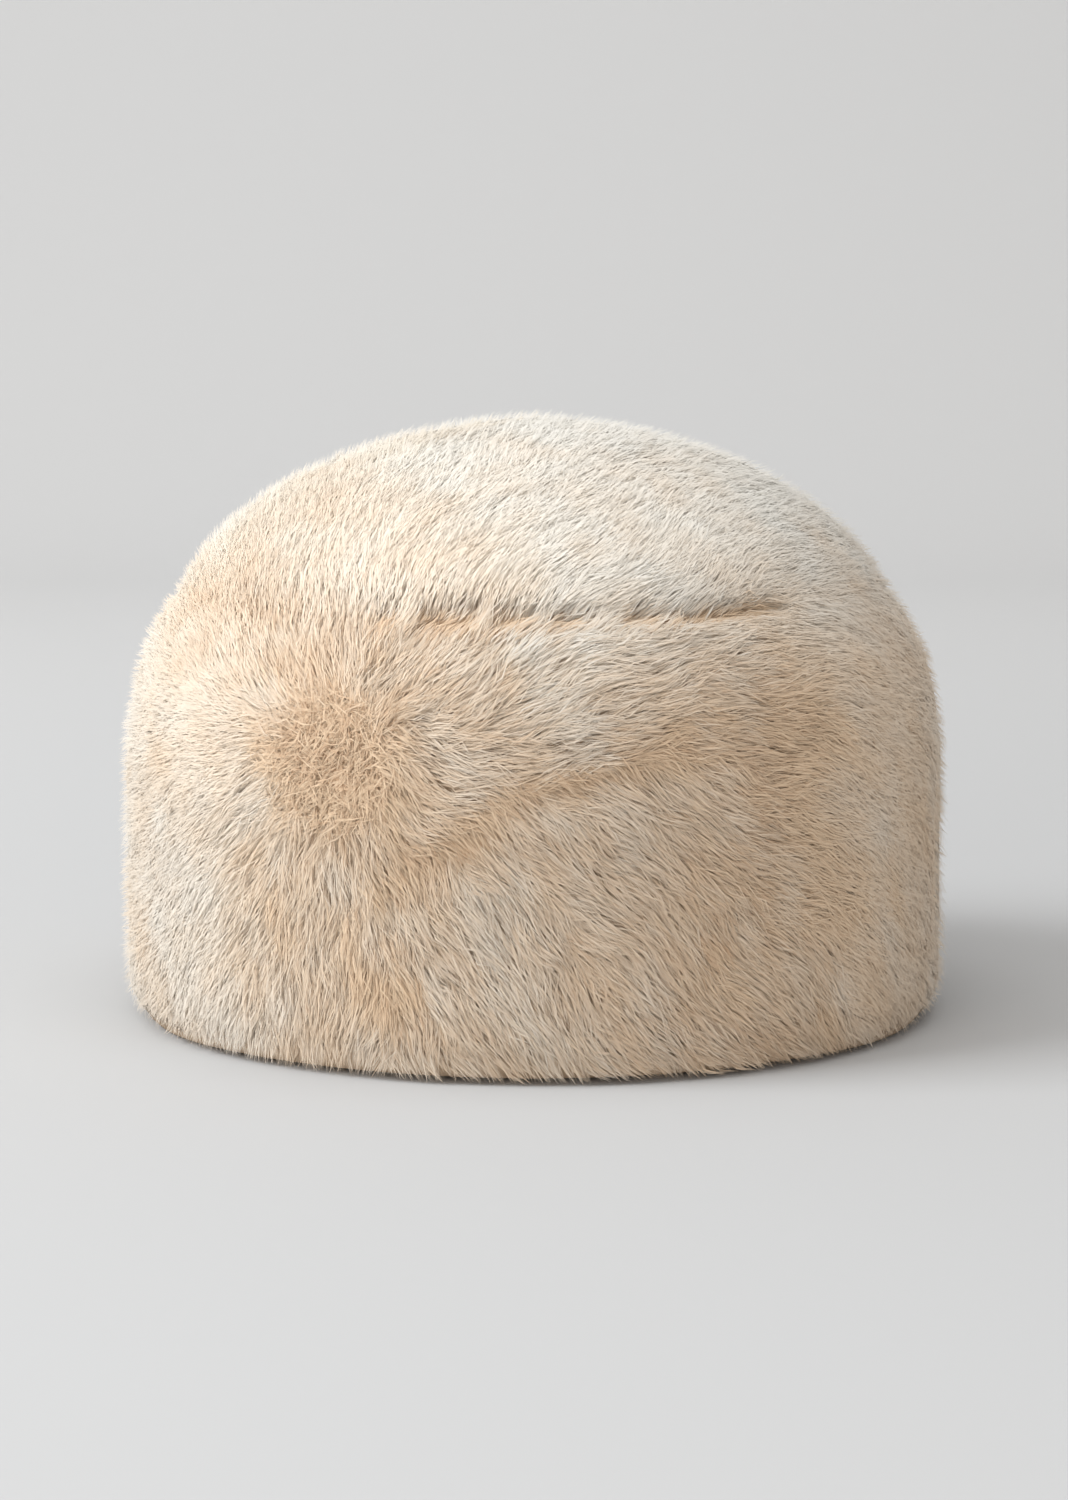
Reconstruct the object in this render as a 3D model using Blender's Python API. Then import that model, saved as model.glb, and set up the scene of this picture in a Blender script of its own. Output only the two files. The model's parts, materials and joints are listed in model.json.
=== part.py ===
"""A tall fur hat: a domed crown sewn to an upright band, both of short-piled pelt, hollow and open underneath.

Each pelt is two solids. The hide is a thin bent sheet with its sewn edge turned in. The pile grows on it, and its
outer form is pointed locks, combed away from one whorl low on the front left of the band.
The origin is on the floor under the middle of the hat, the front faces -Y and +X is the wearer's left.
"""

import math
import random
from typing import NamedTuple

import bmesh
import bpy
from mathutils import Vector
from mathutils.geometry import interpolate_bezier

# Driving dimensions, in metres
OUTER_WIDTH = 0.220
OUTER_DEPTH = 0.232
SEAM_HEIGHT = 0.112
CROWN_RISE = 0.047
PILE_DEPTH = 0.018
HIDE_THICKNESS = 0.002
SEAM_ALLOWANCE = 0.004
PIECE_GAP = 0.0003

# The groove where the two piles part over the seam
GROOVE_DEPTH = 0.005
GROOVE_HALF_WIDTH = 0.0035
GROOVE_FALL = 4.0

# Locks of fur: each is a leaning point in the middle of a diamond, and LOCK_VARIATION is a share of the relief
LOCK_WIDTH = 0.0145
LOCK_LENGTH = 0.016
LOCK_RELIEF = 0.0034
LOCK_LEAN = 0.0048
LOCK_VARIATION = 0.45
LOCK_SEED = 7

# The whorl that the fur is combed away from, and how the lie turns down behind it
WHORL_ANGLE = math.radians(-29.5)
WHORL_HEIGHT = 0.079
WHORL_RADIUS = 0.035
FALL_IN_FRONT = 0.010
FALL_BEHIND = 0.120

# How finely the plain faces are divided
HIDE_COLUMNS = 48
HIDE_ROWS = 8
SPAN_STEPS = 8


class Section(NamedTuple):
    """One level of the outline: its height and half width, as shares of the sizes that they follow."""

    height: float
    reach: float


# Shares of SEAM_HEIGHT, from the floor, and of half of OUTER_WIDTH
BAND_SECTIONS = (
    Section(height=0.00, reach=0.982),
    Section(height=0.09, reach=0.998),
    Section(height=0.33, reach=0.998),
    Section(height=0.56, reach=1.000),
    Section(height=0.68, reach=0.991),
    Section(height=0.79, reach=0.972),
    Section(height=0.87, reach=0.946),
    Section(height=0.94, reach=0.910),
    Section(height=1.00, reach=0.868),
)

# Shares of CROWN_RISE, from the seam, and of the half width at the seam
CROWN_SECTIONS = (
    Section(height=0.12, reach=0.962),
    Section(height=0.27, reach=0.912),
    Section(height=0.44, reach=0.824),
    Section(height=0.61, reach=0.706),
    Section(height=0.78, reach=0.530),
    Section(height=0.92, reach=0.300),
    Section(height=1.00, reach=0.000),
)


class Dent(NamedTuple):
    """A soft hollow in the pile. Lengths are shares: depth of PILE_DEPTH, the rest of SEAM_HEIGHT."""

    angle_deg: float
    height: float
    half_length: float
    half_width: float
    turn_deg: float
    depth: float


DENTS = (
    Dent(angle_deg=-28, height=0.70, half_length=0.20, half_width=0.15, turn_deg=-30, depth=0.16),
    Dent(angle_deg=-10, height=0.50, half_length=0.22, half_width=0.05, turn_deg=32, depth=0.12),
    Dent(angle_deg=12, height=0.68, half_length=0.20, half_width=0.05, turn_deg=14, depth=0.10),
    Dent(angle_deg=-20, height=0.15, half_length=0.10, half_width=0.07, turn_deg=0, depth=0.10),
    Dent(angle_deg=42, height=0.72, half_length=0.16, half_width=0.07, turn_deg=0, depth=0.09),
    Dent(angle_deg=80, height=0.42, half_length=0.18, half_width=0.06, turn_deg=80, depth=0.10),
    Dent(angle_deg=150, height=0.55, half_length=0.24, half_width=0.08, turn_deg=70, depth=0.12),
    Dent(angle_deg=-95, height=0.40, half_length=0.20, half_width=0.07, turn_deg=75, depth=0.10),
    Dent(angle_deg=-140, height=0.62, half_length=0.20, half_width=0.09, turn_deg=20, depth=0.10),
)


class Spot(NamedTuple):
    """A place on the outline: its half width and height, and the outward normal and upward tangent there."""

    place: Vector
    normal: Vector
    tangent: Vector


def smooth_line(points):
    """Points along a smooth curve through the given ones, which leaves level at its last point."""
    last, before = points[-1], points[-2]
    ghosts = [2 * points[0] - points[1], *points, Vector((2 * last.x - before.x, before.y))]
    line = [points[0]]
    for i in range(1, len(ghosts) - 2):
        start, end = ghosts[i], ghosts[i + 1]
        leave = start + (end - ghosts[i - 1]) / 6
        arrive = end - (ghosts[i + 2] - start) / 6
        line += interpolate_bezier(start, leave, arrive, end, SPAN_STEPS + 1)[1:]
    return [Vector(p) for p in line]


class Outline:
    """The hat's half section, from the floor over the seam to the top, measured along its own length."""

    def __init__(self):
        half = OUTER_WIDTH / 2
        band = [Vector((s.reach * half, s.height * SEAM_HEIGHT)) for s in BAND_SECTIONS]
        seam = band[-1]
        crown = [Vector((s.reach * seam.x, seam.y + s.height * CROWN_RISE)) for s in CROWN_SECTIONS]
        self.line = smooth_line(band + crown)
        self.at = [0.0]
        for a, b in zip(self.line, self.line[1:]):
            self.at.append(self.at[-1] + (b - a).length)
        self.seam = self.at[(len(band) - 1) * SPAN_STEPS]
        self.top = self.at[-1]

    def point(self, along):
        """The outline's point at a distance along it."""
        along = min(max(along, 0.0), self.top)
        i = next(k for k in range(1, len(self.at)) if self.at[k] >= along)
        share = (along - self.at[i - 1]) / (self.at[i] - self.at[i - 1])
        return self.line[i - 1].lerp(self.line[i], share)

    def spot(self, along, inset=0.0):
        """The Spot at a distance along the outline, moved inwards by inset, upright at the floor and level at the top."""
        step = self.top / 400
        low, high = max(along - step, 0.0), min(along + step, self.top)
        tangent = (self.point(high) - self.point(low)).normalized()
        if along <= 0:
            tangent = Vector((0.0, 1.0))
        if along >= self.top:
            tangent = Vector((-1.0, 0.0))
        normal = Vector((tangent.y, -tangent.x))
        return Spot(self.point(along) - inset * normal, normal, tangent)


OUTLINE = Outline()
SEAM_REACH = OUTLINE.spot(OUTLINE.seam).place.x
EXTRA_DEPTH = (OUTER_DEPTH - OUTER_WIDTH) / 2


def around(reach, height, angle):
    """The point of the hat's oval ring at this half width and height. Angle 0 is the front, and positive is to +X."""
    front = reach + EXTRA_DEPTH * min(1.0, reach / SEAM_REACH)
    return Vector((reach * math.sin(angle), -front * math.cos(angle), height))


def out_from(spot, angle):
    """The outward normal in space at a Spot of the outline."""
    across = Vector((math.sin(angle), -math.cos(angle), 0.0)) * spot.normal.x
    return (across + Vector((0.0, 0.0, spot.normal.y))).normalized()


WHORL = around(OUTER_WIDTH / 2, WHORL_HEIGHT, WHORL_ANGLE)


def combed(place, normal, angle):
    """The way that the fur lies there, as a vector along the surface, shorter where it stands up near the whorl."""
    behind = (1 - math.cos(angle - WHORL_ANGLE)) / 2
    away = place - WHORL
    reach = away.length
    away.z -= FALL_IN_FRONT + FALL_BEHIND * behind
    along = away - away.dot(normal) * normal
    if along.length < PIECE_GAP:
        return Vector()
    return along.normalized() * min(1.0, reach / WHORL_RADIUS)


def dent_depth(angle, height):
    """How far the soft hollows take the pile in at this place."""
    depth = 0.0
    for dent in DENTS:
        turned = angle - math.radians(dent.angle_deg)
        turned = math.atan2(math.sin(turned), math.cos(turned)) * OUTER_WIDTH / 2
        risen = height - dent.height * SEAM_HEIGHT
        turn = math.radians(dent.turn_deg)
        lengthways = (turned * math.cos(turn) + risen * math.sin(turn)) / (dent.half_length * SEAM_HEIGHT)
        sideways = (risen * math.cos(turn) - turned * math.sin(turn)) / (dent.half_width * SEAM_HEIGHT)
        depth += dent.depth * PILE_DEPTH * math.exp(-(lengthways**2) - sideways**2)
    return depth


def fur_point(along, angle, lock=None):
    """A point of the pile's outer form: the tip of the lock with this seed, or the hollow between locks."""
    spot = OUTLINE.spot(along)
    from_seam = (along - OUTLINE.seam) / GROOVE_HALF_WIDTH
    base = around(spot.place.x, spot.place.y, angle)
    normal = out_from(spot, angle)
    sunk = GROOVE_DEPTH * GROOVE_FALL ** -(from_seam**2) + dent_depth(angle, spot.place.y)
    if lock is None:
        return base - (sunk + LOCK_RELIEF) * normal
    sunk += LOCK_RELIEF * LOCK_VARIATION * random.Random(lock).random()
    return base - sunk * normal + LOCK_LEAN * combed(base, normal, angle)


def new_material(name, colour, roughness):
    """A plain matt material."""
    material = bpy.data.materials.new(name)
    material.use_nodes = True
    shader = material.node_tree.nodes["Principled BSDF"]
    shader.inputs["Base Color"].default_value = (*colour, 1.0)
    shader.inputs["Roughness"].default_value = roughness
    shader.inputs["Metallic"].default_value = 0.0
    return material


def new_piece(name, bm, material, sharp_angle):
    """Turns a bmesh into a named object with its normals outwards."""
    bmesh.ops.recalc_face_normals(bm, faces=bm.faces)
    bmesh.ops.triangulate(bm, faces=[f for f in bm.faces if len(f.verts) > 3])
    mesh = bpy.data.meshes.new(name)
    bm.to_mesh(mesh)
    bm.free()
    mesh.shade_smooth()
    mesh.set_sharp_from_angle(angle=math.radians(sharp_angle))
    mesh.materials.append(material)
    piece = bpy.data.objects.new(name, mesh)
    bpy.context.scene.collection.objects.link(piece)
    return piece


def seam_end(way, inset):
    """The point at this depth on the parting face of the seam. way is -1 under the seam and 1 over it."""
    seam = OUTLINE.spot(OUTLINE.seam, inset)
    return seam.place + way * PIECE_GAP / 2 * seam.tangent


def band_wall(inset):
    """Points up the band at this depth, from the floor to the seam."""
    rows = [OUTLINE.spot(OUTLINE.seam * row / HIDE_ROWS, inset).place for row in range(HIDE_ROWS)]
    return rows + [seam_end(-1, inset)]


def turned_edge(way):
    """The corners of a hide's turned-in edge at the seam: its tip, and the tip and the root of its other face."""
    inner = PILE_DEPTH + HIDE_THICKNESS
    thick = way * HIDE_THICKNESS * OUTLINE.spot(OUTLINE.seam).tangent
    tip = seam_end(way, inner + SEAM_ALLOWANCE)
    return [tip, tip + thick, seam_end(way, inner) + thick]


def ring(bm, point, columns):
    """One smooth oval ring of vertices at a point of the half section."""
    return [bm.verts.new(around(point.x, point.y, 2 * math.pi * c / columns)) for c in range(columns)]


def lock_ring(bm, along, row, columns):
    """One ring of the band's outer form, with the tip of a lock at every other column."""
    loop = []
    for column in range(columns):
        lock = f"{LOCK_SEED} band {row} {column}" if (row + column) % 2 == 0 else None
        loop.append(bm.verts.new(fur_point(along, 2 * math.pi * column / columns, lock)))
    return loop


def add_quad(bm, corners, is_turned):
    """Two triangles. Among the locks a turned one is cut the other way, so that every cut joins two hollows."""
    a, b, c, d = corners[1:] + corners[:1] if is_turned else corners
    bm.faces.new((a, b, c))
    bm.faces.new((a, c, d))


def join_rings(bm, rings):
    """Faces between each ring and the next."""
    for row, (low, high) in enumerate(zip(rings, rings[1:])):
        for c in range(len(low)):
            d = (c + 1) % len(low)
            add_quad(bm, (low[c], low[d], high[d], high[c]), (row + c) % 2 == 0)


def square_to_disc(a, b):
    """Share of the way out and angle, from the front, for a point of a square whose sides are at -1 and 1."""
    out = max(abs(a), abs(b))
    if out == 0:
        return 0.0, 0.0
    if abs(a) > abs(b):
        return out, math.copysign(math.pi / 2, a) + math.pi / 4 * b / a
    return out, (math.pi if b > 0 else 0.0) - math.pi / 4 * a / b


def dome(bm, side, place):
    """A square grid bent over the crown by place(out, angle, i, j). Returns its rim, from the front round by +X."""
    steps = range(side + 1)
    grid = {}
    for i in steps:
        for j in steps:
            out, angle = square_to_disc(2 * i / side - 1, 2 * j / side - 1)
            grid[i, j] = bm.verts.new(place(out, angle, i, j))
    for i in range(side):
        for j in range(side):
            corners = (grid[i, j], grid[i + 1, j], grid[i + 1, j + 1], grid[i, j + 1])
            add_quad(bm, corners, (i + j) % 2 == 0)
    front = [grid[i, 0] for i in range(side)]
    right = [grid[side, j] for j in range(side)]
    back = [grid[side - i, side] for i in range(side)]
    left = [grid[0, side - j] for j in range(side)]
    rim = front + right + back + left
    return rim[side // 2 :] + rim[: side // 2]


def smooth_dome(bm, side, inset):
    """A plain dome at this depth in the crown. Returns its rim, which lies on the parting face of the seam."""

    def place(out, angle, i, j):
        point = OUTLINE.spot(OUTLINE.top - out * (OUTLINE.top - OUTLINE.seam), inset).place
        if out == 1:
            point = seam_end(1, inset)
        return around(point.x, point.y, angle)

    return dome(bm, side, place)


def lock_columns():
    """How many half locks go round the hat: a multiple of 8, so that a square grid fits the crown."""
    girth = math.pi * (OUTER_WIDTH + OUTER_DEPTH) / 2
    return 8 * max(2, round(girth / (LOCK_WIDTH / 2) / 8))


def band_hide(material):
    """The band's hide: an upright wall with its upper edge turned in at the seam."""
    section = band_wall(PILE_DEPTH) + turned_edge(-1) + band_wall(PILE_DEPTH + HIDE_THICKNESS)[-2::-1]
    bm = bmesh.new()
    rings = [ring(bm, point, HIDE_COLUMNS) for point in section]
    join_rings(bm, rings + rings[:1])
    return new_piece("band_hide", bm, material, 40)


def crown_hide(material):
    """The crown's hide: a dome with its edge turned in at the seam."""
    side = HIDE_COLUMNS // 4
    inner = PILE_DEPTH + HIDE_THICKNESS

    def inner_place(out, angle, i, j):
        point = OUTLINE.spot(OUTLINE.top - out * (OUTLINE.top - OUTLINE.seam - HIDE_THICKNESS), inner).place
        return around(point.x, point.y, angle)

    bm = bmesh.new()
    outer_rim = smooth_dome(bm, side, PILE_DEPTH)
    turned = [ring(bm, point, HIDE_COLUMNS) for point in turned_edge(1)[:2]]
    join_rings(bm, [outer_rim, *turned, dome(bm, side, inner_place)])
    return new_piece("crown_hide", bm, material, 40)


def band_pile(material):
    """The band's pile: flat on the floor, locks all the way up, and rolled in to the seam."""
    columns = lock_columns()
    edge = OUTLINE.seam - GROOVE_HALF_WIDTH
    rows = max(4, round(edge / (LOCK_LENGTH / 2)))
    inner = PILE_DEPTH - PIECE_GAP
    bm = bmesh.new()
    rings = [ring(bm, OUTLINE.spot(0.0).place, columns)]
    rings += [lock_ring(bm, edge * row / rows, row, columns) for row in range(1, rows + 1)]
    rings += [ring(bm, point, columns) for point in [seam_end(-1, GROOVE_DEPTH)] + band_wall(inner)[::-1]]
    join_rings(bm, rings + rings[:1])
    return new_piece("band_pile", bm, material, 25)


def crown_pile(material):
    """The crown's pile: a dome of locks, rolled in to the seam all round."""
    columns = lock_columns()
    edge = OUTLINE.seam + GROOVE_HALF_WIDTH

    def lock_place(out, angle, i, j):
        lock = f"{LOCK_SEED} crown {i} {j}" if (i + j) % 2 == 0 else None
        return fur_point(OUTLINE.top - out * (OUTLINE.top - edge), angle, lock)

    bm = bmesh.new()
    outer_rim = dome(bm, columns // 4, lock_place)
    groove = ring(bm, seam_end(1, GROOVE_DEPTH), columns)
    join_rings(bm, [outer_rim, groove, smooth_dome(bm, columns // 4, PILE_DEPTH - PIECE_GAP)])
    return new_piece("crown_pile", bm, material, 25)


def main():
    """Clears the scene and builds the four pieces."""
    for old in list(bpy.data.objects):
        bpy.data.objects.remove(old)
    hide = new_material("hide", (0.66, 0.56, 0.44), 0.90)
    fur = new_material("fur", (0.74, 0.64, 0.52), 0.85)
    hat = bpy.data.objects.new("fur_hat", None)
    bpy.context.scene.collection.objects.link(hat)
    for piece in (band_hide(hide), band_pile(fur), crown_hide(hide), crown_pile(fur)):
        piece.parent = hat


main()
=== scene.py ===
"""The looks of a tall fur hat: short dense pile over a bare hide, combed away from a whorl on its front left.

The frame gives the hides and the size of everything. The pile is made here: a dense underfur, and over it
hairs in small wisps and larger tufts. Each hair is two thin triangles, bent at its middle and pointed.
"""

import json
import logging
import math
from dataclasses import dataclass, field, fields
from enum import Enum
from functools import cached_property
from typing import Iterable, NamedTuple, Self, Sequence, Union

import bpy
import numpy as np
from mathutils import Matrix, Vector
from mathutils.kdtree import KDTree

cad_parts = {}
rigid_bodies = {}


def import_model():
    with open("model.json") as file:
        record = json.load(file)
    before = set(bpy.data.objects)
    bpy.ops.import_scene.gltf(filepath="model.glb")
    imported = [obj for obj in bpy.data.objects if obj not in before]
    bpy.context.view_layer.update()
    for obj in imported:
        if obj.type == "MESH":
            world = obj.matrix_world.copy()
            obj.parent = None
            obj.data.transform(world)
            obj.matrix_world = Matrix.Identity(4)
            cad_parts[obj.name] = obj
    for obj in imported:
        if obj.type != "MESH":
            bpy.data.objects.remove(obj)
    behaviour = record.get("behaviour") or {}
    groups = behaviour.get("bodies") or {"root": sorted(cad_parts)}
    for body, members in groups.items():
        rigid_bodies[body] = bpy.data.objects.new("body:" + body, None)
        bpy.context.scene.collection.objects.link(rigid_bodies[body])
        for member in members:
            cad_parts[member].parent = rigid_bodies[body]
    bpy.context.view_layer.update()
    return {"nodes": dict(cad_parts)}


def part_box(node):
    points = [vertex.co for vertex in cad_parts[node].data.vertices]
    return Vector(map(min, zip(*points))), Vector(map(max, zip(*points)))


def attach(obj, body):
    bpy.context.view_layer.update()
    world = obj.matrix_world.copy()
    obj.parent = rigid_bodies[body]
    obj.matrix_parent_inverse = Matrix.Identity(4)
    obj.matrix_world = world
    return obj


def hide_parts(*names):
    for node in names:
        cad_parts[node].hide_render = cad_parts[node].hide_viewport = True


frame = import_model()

LOG = logging.getLogger("fur_hat")
MM = 0.001
BODY = "root"
HAIR_MAP = "OFBake"

# The hairs' UV map: half a hair's width in U, and the middle and reach of V for its lightness
MAP_HALF_WIDTH = 0.008
MAP_MIDDLE, MAP_REACH = 0.54, 0.45
DARKEST, LIGHTEST = -0.8, 1.0
# How much darker unruly fur is at a hair's root, at the two sides of its bend and at its tip
DARKER_AT_POINTS = (0.68, 0.34, 0.34, 0.0)
# Steps of an even spread over two directions, from the powers of the plastic number
EVEN_STEPS = (0.7548776662466927, 0.5698402909980532)

Rgb = tuple[float, float, float]
Amount = Union[np.ndarray, float]
Pair = tuple[np.ndarray, np.ndarray]


# ---- Shader building


class Shade:
    """A shader socket that takes part in Python arithmetic: each operator adds its Math node."""

    def __init__(self, board: "Board", socket: bpy.types.NodeSocket) -> None:
        """Wraps an output socket of one of the board's nodes."""
        self.board = board
        self.socket = socket

    def _math(self, operation: str, *values: "Value") -> "Shade":
        """One Math node on the given values."""
        return self.board.add("ShaderNodeMath", {"operation": operation}, dict(enumerate(values)))

    def __add__(self, other: "Value") -> "Shade":
        """Sum."""
        return self._math("ADD", self, other)

    def __rsub__(self, other: "Value") -> "Shade":
        """Difference from a plain number."""
        return self._math("SUBTRACT", other, self)

    def __mul__(self, other: "Value") -> "Shade":
        """Product."""
        return self._math("MULTIPLY", self, other)

    __rmul__ = __mul__

    def smooth(self, low: float, high: float) -> "Shade":
        """A soft step from 0 at low to 1 at high."""
        inputs = {"Value": self, "From Min": low, "From Max": high}
        return self.board.add("ShaderNodeMapRange", {"interpolation_type": "SMOOTHSTEP"}, inputs)


Value = Union[Shade, float, Sequence[float]]


class Board:
    """The node tree of one material."""

    def __init__(self, name: str) -> None:
        """Starts a material with an empty tree."""
        self.material = bpy.data.materials.new(name)
        self.material.use_nodes = True
        self.tree = self.material.node_tree
        self.tree.nodes.clear()

    def add(
        self, kind: str, settings: dict[str, object] | None = None,
        inputs: dict[Union[str, int], Value] | None = None, output: Union[str, int] = 0,
    ) -> Shade:
        """Adds one node.

        Args:
            kind: the node's type.
            settings: its properties, set before its sockets.
            inputs: values or links by socket name or number.
            output: which output to return.

        Returns:
            The chosen output, ready for arithmetic.
        """
        node = self.tree.nodes.new(kind)
        for name, value in (settings or {}).items():
            setattr(node, name, value)
        for name, value in (inputs or {}).items():
            if isinstance(value, Shade):
                self.tree.links.new(value.socket, node.inputs[name])
            else:
                node.inputs[name].default_value = value
        return Shade(self, node.outputs[output])

    def blend(self, share: Value, first: Union[Shade, Rgb], second: Union[Shade, Rgb]) -> Shade:
        """Mixes two colours: the first at a share of 0, and the second at 1."""
        settings = {"data_type": "RGBA"}
        colours = [c if isinstance(c, Shade) else (*c, 1.0) for c in (first, second)]
        factor, a_socket, b_socket, result = 0, 6, 7, 2
        inputs = {factor: share, a_socket: colours[0], b_socket: colours[1]}
        return self.add("ShaderNodeMix", settings, inputs, result)

    def noise(self, scale: float, detail: float, roughness: float = 0.5) -> Shade:
        """Cloudy noise from 0 to 1 on the piece. Its scale is patches to a metre, its detail finer layers."""
        place = self.add("ShaderNodeTexCoord", output="Object")
        inputs = {"Vector": place, "Scale": scale, "Detail": detail, "Roughness": roughness}
        return self.add("ShaderNodeTexNoise", {}, inputs)

    def finish(self, inputs: dict[str, Value]) -> bpy.types.Material:
        """Ends the tree in a Principled shader with these inputs."""
        shader = self.add("ShaderNodeBsdfPrincipled", {}, dict(inputs), "BSDF")
        output = self.tree.nodes.new("ShaderNodeOutputMaterial")
        self.tree.links.new(shader.socket, output.inputs["Surface"])
        return self.material


@dataclass(frozen=True)
class FurFinish:
    """Hair, tan at its root and pale at its tip. Its UV map holds its tone in U and its lightness in V."""

    warm_root: Rgb = (0.62, 0.43, 0.28)
    pale_root: Rgb = (0.76, 0.665, 0.53)
    warm_tip: Rgb = (0.79, 0.61, 0.43)
    pale_tip: Rgb = (0.828, 0.81, 0.76)
    roughness: float = 0.75
    sheen: float = 0.20

    def material(self) -> bpy.types.Material:
        """The material for every piece of hair."""
        board = Board("fur")
        place = board.add("ShaderNodeUVMap", {"uv_map": HAIR_MAP})
        tone = board.add("ShaderNodeSeparateXYZ", {}, {0: place}, "X")
        light = board.add("ShaderNodeSeparateXYZ", {}, {0: place}, "Y")
        tip = board.blend(tone, self.warm_tip, self.pale_tip)
        root = board.blend(tone, self.warm_root, self.pale_root)
        colour = board.blend(light.smooth(0.05, 0.75), root, tip)
        return board.finish({
            "Base Color": colour,
            "Roughness": self.roughness,
            "Specular IOR Level": 0.25,
            "Sheen Weight": self.sheen,
            "Sheen Roughness": 0.45,
            "Sheen Tint": (1.0, 0.95, 0.88, 1.0),
        })


@dataclass(frozen=True)
class UnderfurFinish:
    """Matted wool under the hairs, darker and warmer than their tips."""

    dark: Rgb = (0.68, 0.485, 0.32)
    light: Rgb = (0.83, 0.65, 0.475)
    bump: float = 0.6

    def material(self) -> bpy.types.Material:
        """The material for the underfur."""
        board = Board("underfur")
        patches = board.noise(scale=90.0, detail=3.0)
        fibres = board.noise(scale=1600.0, detail=2.0, roughness=0.7)
        colour = board.blend(patches * 0.6 + fibres * 0.4, self.dark, self.light)
        bumps = {"Strength": self.bump, "Distance": 0.4 * MM, "Height": fibres}
        normal = board.add("ShaderNodeBump", {}, bumps)
        return board.finish({
            "Base Color": colour, "Roughness": 0.95, "Normal": normal, "Specular IOR Level": 0.1,
        })


@dataclass(frozen=True)
class HideFinish:
    """The flesh side of the pelt: undyed suede with a fine nap and faint blotches."""

    deep: Rgb = (0.46, 0.345, 0.235)
    light: Rgb = (0.68, 0.565, 0.43)
    bump: float = 0.35

    def material(self) -> bpy.types.Material:
        """The material for both hides."""
        board = Board("hide")
        blotches = board.noise(scale=38.0, detail=5.0, roughness=0.6)
        nap = board.noise(scale=900.0, detail=3.0, roughness=0.65)
        pores = board.noise(scale=260.0, detail=2.0)
        colour = board.blend((blotches * 0.65 + nap * 0.35).smooth(0.32, 0.70), self.deep, self.light)
        height = nap * 0.6 + pores * 0.4
        bumps = {"Strength": self.bump, "Distance": 0.5 * MM, "Height": height}
        normal = board.add("ShaderNodeBump", {}, bumps)
        roughness = 0.98 - 0.14 * blotches
        return board.finish({
            "Base Color": colour, "Roughness": roughness, "Normal": normal, "Specular IOR Level": 0.2,
            "Sheen Weight": 0.25, "Sheen Roughness": 0.6,
        })


@dataclass(frozen=True)
class StageFinish:
    """The plain matt paper that the hat stands on, a little darker where it lies flat under the lights."""

    floor: Rgb = (0.51, 0.517, 0.526)
    rise: Rgb = (0.715, 0.72, 0.726)
    wall: Rgb = (0.695, 0.70, 0.706)

    def material(self) -> bpy.types.Material:
        """The material for floor and wall."""
        board = Board("stage_paper")
        place = board.add("ShaderNodeTexCoord", output="Object")
        back = board.add("ShaderNodeSeparateXYZ", {}, {0: place}, "Y")
        colour = board.blend(back.smooth(-0.1, 1.5), self.floor, self.rise)
        colour = board.blend(back.smooth(1.5, 2.1), colour, self.wall)
        return board.finish({"Base Color": colour, "Roughness": 0.9, "Specular IOR Level": 0.1})


# ---- The hat's outer form


class Level(NamedTuple):
    """A level of the outline: its height and half width, as shares of the sizes that they follow."""

    height: float
    reach: float


# Shares of the seam's height, from the floor, and of the half width
BAND_LEVELS = (
    Level(height=0.00, reach=0.982),
    Level(height=0.09, reach=0.998),
    Level(height=0.33, reach=0.998),
    Level(height=0.56, reach=1.000),
    Level(height=0.68, reach=0.991),
    Level(height=0.79, reach=0.972),
    Level(height=0.87, reach=0.946),
    Level(height=0.94, reach=0.910),
    Level(height=1.00, reach=0.868),
)

# Shares of the crown's rise, from the seam, and of the half width at the seam
CROWN_LEVELS = (
    Level(height=0.12, reach=0.962),
    Level(height=0.27, reach=0.912),
    Level(height=0.44, reach=0.824),
    Level(height=0.61, reach=0.706),
    Level(height=0.78, reach=0.530),
    Level(height=0.92, reach=0.300),
    Level(height=1.00, reach=0.000),
)


class Dent(NamedTuple):
    """A soft hollow in the pile. Its depth is a share of the pile's, its lengths are of the seam's height."""

    angle_deg: float
    height: float
    half_length: float
    half_width: float
    turn_deg: float
    depth: float


DENTS = (
    Dent(angle_deg=-28, height=0.70, half_length=0.20, half_width=0.15, turn_deg=-30, depth=0.16),
    Dent(angle_deg=-10, height=0.50, half_length=0.22, half_width=0.05, turn_deg=32, depth=0.12),
    Dent(angle_deg=12, height=0.68, half_length=0.20, half_width=0.05, turn_deg=14, depth=0.10),
    Dent(angle_deg=-20, height=0.15, half_length=0.10, half_width=0.07, turn_deg=0, depth=0.10),
    Dent(angle_deg=42, height=0.72, half_length=0.16, half_width=0.07, turn_deg=0, depth=0.09),
    Dent(angle_deg=80, height=0.42, half_length=0.18, half_width=0.06, turn_deg=80, depth=0.10),
    Dent(angle_deg=150, height=0.55, half_length=0.24, half_width=0.08, turn_deg=70, depth=0.12),
    Dent(angle_deg=-95, height=0.40, half_length=0.20, half_width=0.07, turn_deg=75, depth=0.10),
    Dent(angle_deg=-140, height=0.62, half_length=0.20, half_width=0.09, turn_deg=20, depth=0.10),
)


class Gap(NamedTuple):
    """A stretch of the seam where its groove shows in the fur, and how much of the groove's depth it has."""

    from_deg: float
    to_deg: float
    depth: float


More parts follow.
